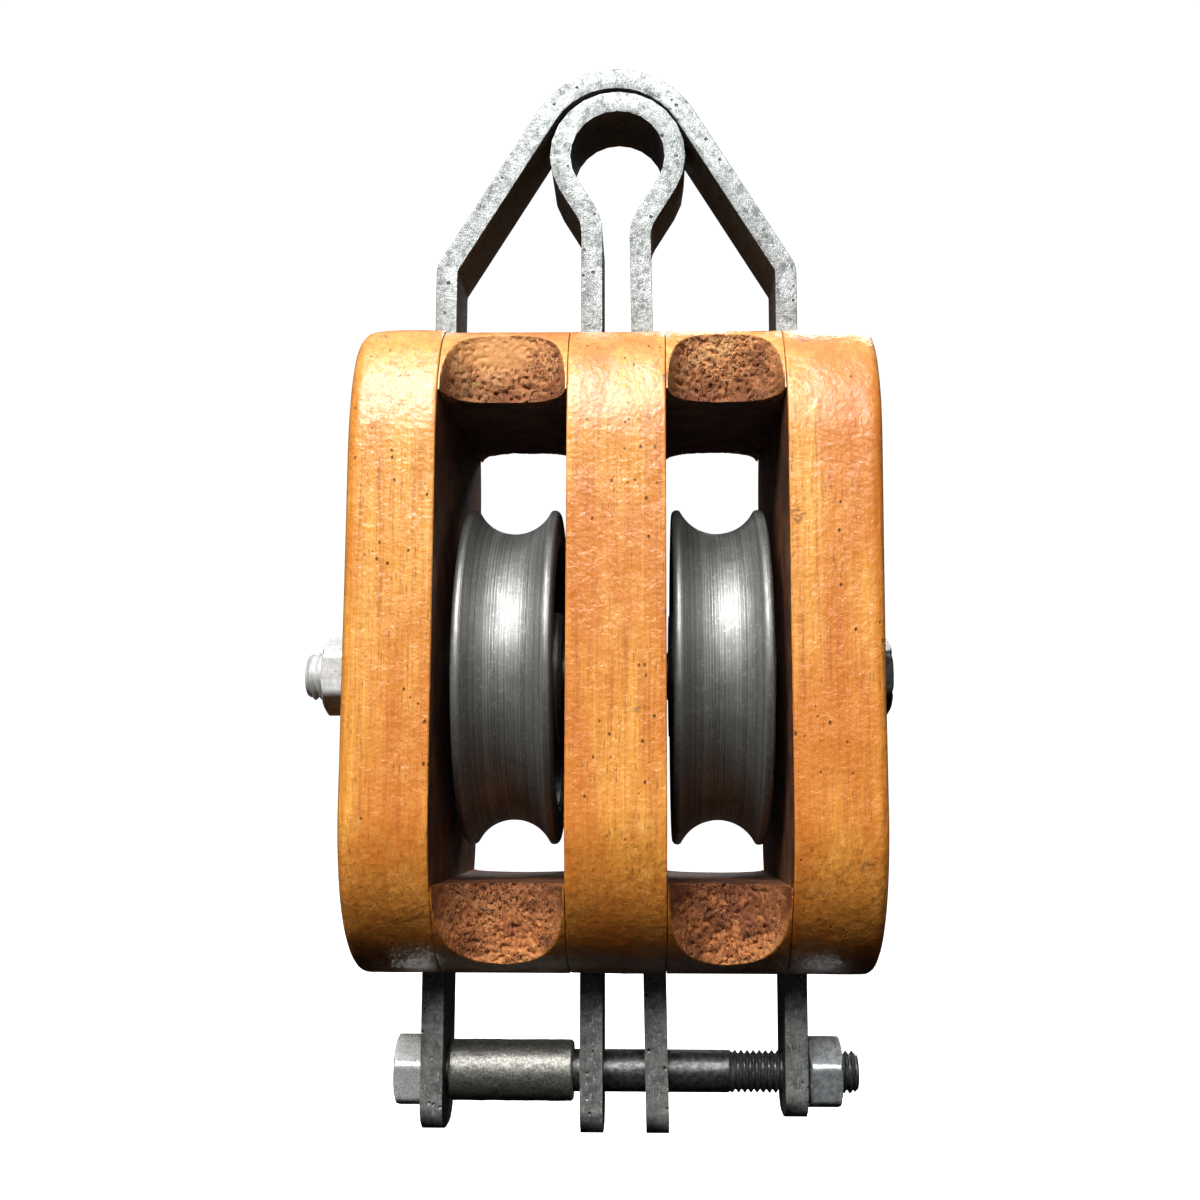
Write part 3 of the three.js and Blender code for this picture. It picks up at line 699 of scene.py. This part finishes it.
SEEDS = {"left": 11.0, "right": 47.0}
TAIL_SEED = 23.0
for side in ("left", "right"):
    for end, scoop, is_head in (("head", HEAD_SCOOP, True), ("tail", TAIL_SCOOP, False)):
        node = f"{end}_chock_{side}"
        seed = SEEDS[side] + (0 if is_head else TAIL_SEED)
        piece = chock(f"{node}_wood", node, scoop, is_head, seed)
        dress(piece, WOOD, RAW_SLOT, "frame", node)
        paint_scoops(piece, scoop, is_head)


# ------------------------------------------------------------------ straps

for node in ("outer_strap", "inner_strap"):
    bar = dress(copy_of(node, f"{node}_bar", 0.75), ZINC_BAR, "galvanised_steel", "frame", node)
    # Narrow faces turned inwards or down take the darkened zinc: painted shade.
    bar.data.materials.append(ZINC_PAINTED_SHADE)
    for face in bar.data.polygons:
        narrow = abs(face.normal.y) < 0.5 and face.normal.z < 0.3
        inward = face.normal.x * face.center.x < 0
        if narrow and (inward or face.normal.z < -0.1):
            face.material_index = 1


# ------------------------------------------------------------------ sheaves, bushes and washers

SHEAVE = {
    "radius": 42.25, "half": 11.5, "groove_radius": 10.4, "groove_bottom": 36.1, "rim_inner": 33.0,
    "web_half": 5.0, "hub_radius": 16.0, "hub_half": 12.2, "bore": 9.3}


def sheave_profile():
    """The turned section as a closed loop of (x, radius) points."""
    p = SHEAVE
    centre = p["groove_bottom"] + p["groove_radius"]
    reach = math.degrees(math.asin((centre - p["radius"] + 0.9) / p["groove_radius"]))
    groove = arc(0, centre, p["groove_radius"], -reach, -180 + reach, 40)
    rim = 1.35
    right = arc(p["half"] - rim, p["radius"] - rim - 0.1, rim, 0, 125, 10)
    left = [(-x, r) for x, r in reversed(right)]
    fillet = 2.5
    half_side = [(p["half"], p["rim_inner"] + 1), (p["half"] - 1, p["rim_inner"])]
    half_side += arc(p["web_half"] + fillet, p["rim_inner"] - fillet, fillet, 90, 180, 5)
    half_side += arc(p["web_half"] + fillet, p["hub_radius"] + fillet, fillet, 180, 270, 5)
    half_side += [
        (p["hub_half"] - 0.8, p["hub_radius"]), (p["hub_half"], p["hub_radius"] - 0.8),
        (p["hub_half"], p["bore"] + 0.5), (p["hub_half"] - 0.5, p["bore"])]
    return groove + left + [(-x, r) for x, r in half_side] + half_side[::-1] + right


for side, x in SHEAVE_X.items():
    def chatter(angle, px, r, turn=x):
        """A sheave's faint unevenness, different on each side."""
        return 0.05 * fractal(px + turn, r * math.sin(angle), r * math.cos(angle), 6.0, 2)

    body, bush, washer = f"{side}_sheave", f"sheave_bush_{side}", f"thrust_washer_{side}"
    piece = turned(f"sheave_{side}_wheel", sheave_profile(), x, 0.0, 168, chatter, smooth_angle=38.0)
    dress(piece, SHEAVE_STEEL[side], "sheave_steel", body, f"sheave_{side}")
    dress(copy_of(bush, f"{bush}_sleeve", 0.3, 2), BRONZE, "bush_bronze", body, bush)
    dress(copy_of(washer, f"{washer}_ring", 0.25, 2), DARK_STEEL, "bolt_steel", "frame", washer)


# ------------------------------------------------------------------ bolts, nuts, spacer and rivets

def hex_reach(angle, flats):
    """Distance from the axis to a hexagon's side at an angle."""
    sector = (angle + math.pi / 6) % (math.pi / 3) - math.pi / 6
    return flats / 2 / math.cos(sector)


def hexagon(height, flats, bore, turn, chamfer, is_nut=False, steps=96):
    """(x, radius, angle) loops of a chamfered hexagon that stands on x = 0.

    A nut is chamfered at both ends and a little dished round its thread.
    """
    bevel_from = flats / 2 * 0.965
    widest = flats / math.sqrt(3) - 0.35
    dish = 0.5 if is_nut else 0.0

    def level(scale, lift):
        points = []
        for j in range(steps):
            a = 2 * math.pi * j / steps
            r = min(hex_reach(a + turn + math.pi / 6, flats) * scale, widest)
            points.append((a, r, lift(r)))
        return points

    def top(r):
        return height - max(0.0, r - bevel_from) * chamfer

    def bottom(r):
        return max(0.0, r - bevel_from) * chamfer if is_nut else 0.0

    loops = [[(a, bore, bottom(bore)) for a, _, _ in level(1, top)]]
    for scale in (0.9, 0.965, 0.985, 1.0):
        loops.append(level(scale, bottom))
    loops.append([(a, r, min(bottom(r) + 0.5, height / 2)) for a, r, _ in level(1.0, bottom)])
    loops.append([(a, r, max(top(r) - 0.5, height / 2)) for a, r, _ in level(1.0, top)])
    for scale in (1.0, 0.985, 0.965, 0.93, 0.9):
        loops.append(level(scale, top))
    loops.append([(a, bore, height - dish) for a, _, _ in level(1, top)])
    return [[(lift, r, a) for a, r, lift in loop] for loop in loops]


def placed(loops, x, z, direction):
    """Turns (x, radius, angle) loops into points on an axis along X, pointing to +X or -X."""
    return [
        [(x + direction * lift, r * math.sin(a), z + r * math.cos(a)) for lift, r, a in loop]
        for loop in loops]


def shank(length, radius, thread_from, pitch, depth, tip, steps=96):
    """(x, radius, angle) loops of a shank from x = 0: plain, then a rolled thread, then a chamfered tip."""
    stations = [thread_from * i / 6 for i in range(7)]
    turns = int((length - thread_from) / pitch * 8)
    stations += [thread_from + pitch / 8 * k for k in range(1, turns)] + [length]
    loops = []
    for x in stations:
        fade = min(1.0, max(0.0, (x - thread_from) / pitch))
        loop = []
        for j in range(steps):
            a = 2 * math.pi * j / steps
            ridge = abs((x / pitch - a / (2 * math.pi)) % 1.0 - 0.5) * 2
            r = radius - depth * fade * min(1.0, max(0.0, (ridge - 0.12) / 0.72))
            r = min(r, radius - 0.95 * max(0.0, tip - (length - x)))
            loop.append((x, r, a))
        loops.append(loop)
    return loops


def join(name, parts):
    """One piece from several skins."""
    work = bmesh.new()
    for part in parts:
        work.from_mesh(part.data)
        bpy.data.objects.remove(part)
    mesh = bpy.data.meshes.new(name)
    work.to_mesh(mesh)
    work.free()
    piece = bpy.data.objects.new(name, mesh)
    bpy.context.scene.collection.objects.link(piece)
    tidy_normals(piece, 32.0)
    return piece


def bolt(name, head, bar, seat, shank_from, z, direction):
    """A bolt with its head's loops pointing to +X or -X from the seat, and its shank's the other way."""
    return join(name, [
        rings("head", placed(head, seat, z, direction), smooth_angle=32.0),
        rings("shank", placed(bar, shank_from, z, -direction), smooth_angle=50.0)])


def nut(node, flats, radius, turn, chamfer, z, direction):
    """A hexagon nut as long as its CAD node, with its dished face towards +X or -X."""
    low, high = box_mm(node)
    seat = low[0] if direction > 0 else high[0]
    loops = hexagon(high[0] - low[0], flats, radius, turn, chamfer, is_nut=True)
    return rings(f"{node}_hexagon", placed(loops, seat, z, direction), torus=True, smooth_angle=32.0)


CLOSED = 0.4  # radius at which the skin of a bolt's head closes at its axis

PIN_FLATS, PIN_RADIUS, PIN_PITCH = 18.0, 6.0, 1.75
PIN_SEAT = 61.0  # where the head bears on the right cheek
PIN_SHANK_FROM = 61.2  # a little inside the head
PIN_THREAD = 22.0
PIN_LOW, PIN_HIGH = box_mm("sheave_pin")
pin_length = PIN_SHANK_FROM - PIN_LOW[0]
pin_head = hexagon(PIN_HIGH[0] - PIN_SEAT, PIN_FLATS, CLOSED, 0.0, 0.6)
pin_bar = shank(pin_length, PIN_RADIUS, pin_length - PIN_THREAD, PIN_PITCH, depth=0.95, tip=1.2)
pin = bolt("sheave_pin_bolt", pin_head, pin_bar, PIN_SEAT, PIN_SHANK_FROM, 0.0, 1)
dress(pin, DARK_STEEL, "bolt_steel", "frame", "sheave_pin")
pin.data.materials.append(BRIGHT_ZINC)
pin.data.materials.append(BLACK_STEEL)
for face in pin.data.polygons:
    x = face.center.x
    face.material_index = 1 if x < SHELL_LEFT * MM else 2 if x > SHELL_RIGHT * MM else 0
pin_nut = nut("pin_nut", PIN_FLATS, PIN_RADIUS, 0.0, 0.6, 0.0, -1)
dress(pin_nut, BRIGHT_ZINC, "zinc_steel", "frame", "pin_nut")
dress(copy_of("pin_washer", "pin_washer_ring", 0.45, 3), BRIGHT_ZINC, "zinc_steel", "frame", "pin_washer")

BECKET_Z = -96.6
BECKET_FLATS, BECKET_RADIUS, BECKET_PITCH = 16.0, 5.0, 1.5
BECKET_TURN = math.radians(15.0)
BECKET_HEAD = 6.8
BECKET_THREAD_FROM = 27.0
BECKET_LOW, BECKET_HIGH = box_mm("becket_bolt")
becket_seat = BECKET_LOW[0] + BECKET_HEAD
becket_head = hexagon(BECKET_HEAD, BECKET_FLATS, CLOSED, BECKET_TURN, 0.55)
becket_bar = shank(
    BECKET_HIGH[0] - becket_seat, BECKET_RADIUS, BECKET_THREAD_FROM - becket_seat, BECKET_PITCH,
    depth=0.8, tip=1.0)
becket = bolt("becket_bolt_bar", becket_head, becket_bar, becket_seat, becket_seat, BECKET_Z, -1)
dress(becket, DARK_STEEL, "bolt_steel", "frame", "becket_bolt")
becket.data.materials.append(HEAD_STEEL)
for face in becket.data.polygons:
    if face.center.x / MM < becket_seat - 0.05:
        face.material_index = 1
becket_nut = nut("becket_nut", BECKET_FLATS, BECKET_RADIUS, BECKET_TURN, 0.55, BECKET_Z, 1)
dress(becket_nut, NUT_STEEL, "zinc_steel", "frame", "becket_nut")

SPACER_LOW, SPACER_HIGH = box_mm("becket_spacer")
SPACER_RADIUS, SPACER_BORE = 7.25, 5.12


def spacer_profile():
    """A sawn tube's section as a closed loop of (x, radius) points."""
    x0, x1 = SPACER_LOW[0], SPACER_HIGH[0]
    outer = [(x0 + 0.5 + (x1 - x0 - 1.0) * i / 44, SPACER_RADIUS) for i in range(45)]
    first = [(x0, SPACER_BORE + 0.3), (x0, SPACER_RADIUS - 0.5)]
    last = [
        (x1, SPACER_RADIUS - 0.5), (x1, SPACER_BORE + 0.3),
        (x1 - 0.3, SPACER_BORE), (x0 + 0.3, SPACER_BORE)]
    return first + outer + last


def rough_cast(angle, px, r):
    """The spacer's outside is uneven."""
    if r < SPACER_RADIUS - 1:
        return 0.0
    y, z = r * math.sin(angle), r * math.cos(angle)
    return -0.05 + 0.10 * fractal(px, y, z, 2.4, 3) + 0.05 * fractal(px, y + 30, z, 0.8, 2)


spacer = turned("becket_spacer_tube", spacer_profile(), 0.0, BECKET_Z, 110, rough_cast, smooth_angle=40.0)
dress(spacer, SPACER_STEEL, "spacer_steel", "spacer", "becket_spacer")

for place in ("head_front", "head_rear", "tail_front", "tail_rear"):
    node = f"shell_rivet_{place}"
    dress(copy_of(node, f"{node}_shaft", 0.35, 2), RIVET_STEEL, "rivet_steel", "frame", node)


# ------------------------------------------------------------------ studio

def plain_material(name, colour, glow):
    """A matt stage material that glows by itself."""
    s = Shader(name, Roughness=0.9)
    tone = s.noise(s.stretched(1, 1, 1), 900.0, 2.0)
    light = s.mix(s.times(tone, 0.06), colour, tuple(c * 0.96 for c in colour))
    s.bsdf.inputs["Emission Strength"].default_value = glow
    s.bsdf.inputs["Emission Color"].default_value = (1, 1, 1, 1)
    return s.set(Base_Color=light)


def circle(radius, height, steps):
    """Points round a level circle, in metres."""
    turns = [2 * math.pi * j / steps for j in range(steps)]
    return [(radius * math.cos(a), radius * math.sin(a), height) for a in turns]


def band(low, high, steps):
    """Faces between two circles whose points start at vertex low and at vertex high."""
    return [(low + j, low + (j + 1) % steps, high + (j + 1) % steps, high + j) for j in range(steps)]


def stage_disc(name, radius, height, material, steps=96):
    """A large round floor."""
    verts = [(0.0, 0.0, height)] + circle(0.25 * radius, height, steps) + circle(radius, height, steps)
    faces = [(0, 1 + j, 1 + (j + 1) % steps) for j in range(steps)]
    return stage_mesh(name, verts, faces + band(1 + steps, 1, steps), material)


def stage_mesh(name, verts, faces, material):
    """A mesh of the stage: the camera sees it, but it doesn't light the block."""
    mesh = bpy.data.meshes.new(name)
    mesh.from_pydata(verts, [], faces)
    mesh.materials.append(material)
    piece = bpy.data.objects.new(name, mesh)
    bpy.context.scene.collection.objects.link(piece)
    piece.visible_diffuse = piece.visible_glossy = piece.visible_transmission = False
    return piece


FLOOR_Z = -0.42
stage_disc("floor", 9.0, FLOOR_Z, plain_material("pale_floor", (0.93, 0.93, 0.93), 0.85))
RINGS, STEPS, DOME = 12, 48, 8.5
dome_verts, dome_faces = [], []
for i in range(RINGS + 1):
    lift = math.pi / 2 * i / RINGS * 0.97
    dome_verts += circle(DOME * math.cos(lift), FLOOR_Z - 0.02 + DOME * math.sin(lift), STEPS)
for i in range(RINGS):
    dome_faces += band(i * STEPS, (i + 1) * STEPS, STEPS)
dome = stage_mesh("backdrop", dome_verts, dome_faces, plain_material("pale_backdrop", (0.9, 0.9, 0.9), 1.0))
dome.visible_shadow = False

world = bpy.data.worlds.new("soft_surround")
bpy.context.scene.world = world
world.use_nodes = True
tree = world.node_tree
backdrop = tree.nodes["Background"]
direction = tree.nodes.new("ShaderNodeTexCoord")
split = tree.nodes.new("ShaderNodeSeparateXYZ")
ramp = tree.nodes.new("ShaderNodeValToRGB")
tree.links.new(direction.outputs["Generated"], split.inputs[0])
height = tree.nodes.new("ShaderNodeMath")
height.operation = "MULTIPLY_ADD"
height.inputs[1].default_value = 0.5
height.inputs[2].default_value = 0.5
tree.links.new(split.outputs["Z"], height.inputs[0])
tree.links.new(height.outputs[0], ramp.inputs["Fac"])
tree.links.new(ramp.outputs["Color"], backdrop.inputs["Color"])
SURROUND = ((0.0, 0.004), (0.36, 0.012), (0.43, 0.05), (0.52, 0.05), (0.62, 0.06), (0.80, 0.35), (1.0, 1.9))
while len(ramp.color_ramp.elements) < len(SURROUND):
    ramp.color_ramp.elements.new(0.5)
for element, (place, grey) in zip(ramp.color_ramp.elements, SURROUND):
    element.position = place
    element.color = (grey, grey, grey, 1)
backdrop.inputs["Strength"].default_value = 0.5


BLOCK_MIDDLE = (0.0, 0.0, -0.13)
SOFTBOXES = (
    ("key", (-0.38, -1.12, 1.05), 0.85, 44),
    ("front_fill", (0.25, -1.6, 0.80), 0.4, 6),
    ("rear_fill", (0.5, 1.5, 1.4), 0.8, 26),
)
for name, spot, size, power in SOFTBOXES:
    lamp = bpy.data.lights.new(name, "AREA")
    lamp.shape = "RECTANGLE"
    lamp.size = lamp.size_y = size
    lamp.energy = power
    holder = bpy.data.objects.new(name, lamp)
    holder.location = spot
    holder.rotation_euler = (Vector(BLOCK_MIDDLE) - Vector(spot)).to_track_quat("-Z", "Y").to_euler()
    bpy.context.scene.collection.objects.link(holder)


# ------------------------------------------------------------------ camera

CAMERA_SPOT = (0.0078, -0.3717, -0.1666)
PITCH, ROLL, YAW = 0.144, -0.002, 0.025
FOCAL_LENGTH, SENSOR = 43.95, 36.0
camera_data = bpy.data.cameras.new("camera")
camera_data.lens = FOCAL_LENGTH
camera_data.sensor_width = SENSOR
camera_data.shift_x, camera_data.shift_y = -0.0096, -0.0088
camera_data.clip_start, camera_data.clip_end = 0.01, 60.0
camera = bpy.data.objects.new("camera", camera_data)
camera.location = CAMERA_SPOT
camera.rotation_euler = Euler((math.pi / 2 + PITCH, ROLL, YAW), "XYZ")
bpy.context.scene.collection.objects.link(camera)
bpy.context.scene.camera = camera
bpy.context.scene.view_settings.view_transform = "Standard"
